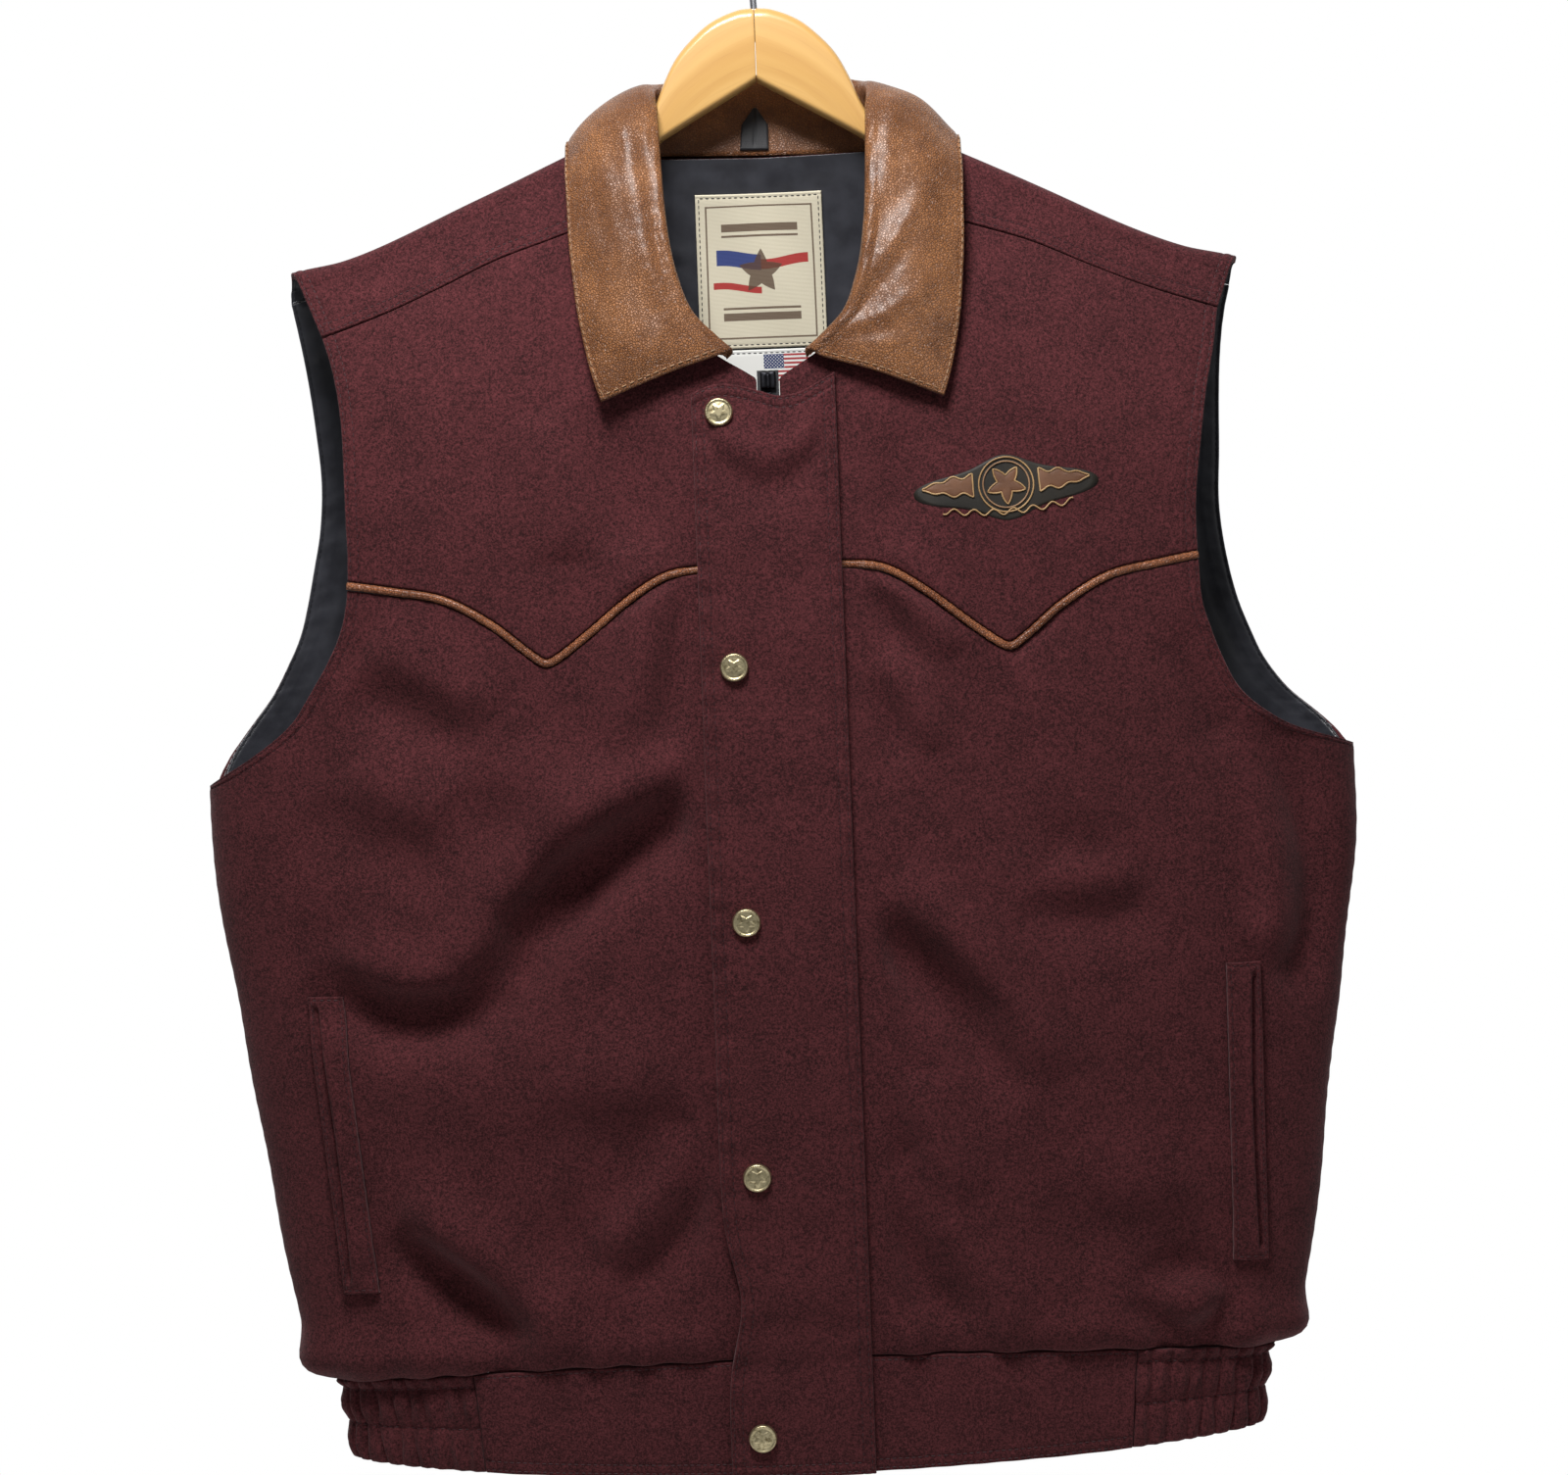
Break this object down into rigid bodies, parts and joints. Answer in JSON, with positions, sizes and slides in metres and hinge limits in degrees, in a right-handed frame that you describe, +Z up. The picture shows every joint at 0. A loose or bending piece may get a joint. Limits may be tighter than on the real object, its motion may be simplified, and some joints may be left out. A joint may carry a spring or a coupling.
{
  "type": "western vest on a wooden hanger",
  "caption": "Heavy wool western vest with a leather collar, piped pointed yokes, a snapped storm flap and an elastic waistband, hanging open-necked on a flat wooden hanger with a wire hook.",
  "frame": {"origin": "inside top of the hanger's hook, where a rod carries it", "axes": "+Z up, the vest's front faces -Y, +X towards the wearer's left"},
  "size_m": [0.6052, 0.104, 0.85],
  "materials": {
    "wool": "felted burgundy wool",
    "leather": "semi-gloss pebbled brown",
    "lining": "dark satin",
    "tape": "black woven tape",
    "label": "woven cream",
    "steel": "bright wire",
    "wood": "clear lacquer",
    "brass": "antique"
  },
  "bodies": {
    "root": {"front_left": "wool", "front_right": "wool", "yoke_left": "wool", "yoke_right": "wool", "shoulder_left": "wool", "shoulder_right": "wool", "back": "wool", "under_collar": "wool", "storm_flap": "wool", "pocket_welt_left": "wool", "pocket_welt_right": "wool", "band_front_left": "wool", "band_front_right": "wool", "band_elastic_left": "wool", "band_elastic_right": "wool", "band_back": "wool", "collar": "leather", "piping_left": "leather", "piping_right": "leather", "lining_back": "lining", "zip_tape": "tape", "neck_loop": "tape", "neck_label": "label", "care_label": "label", "zip_slider": "steel", "hanger_hook": "steel", "hanger_arm_left": "wood", "hanger_arm_right": "wood", "snap_1": "brass", "snap_2": "brass", "snap_3": "brass", "snap_4": "brass", "snap_5": "brass"}
  },
  "joints": []
}
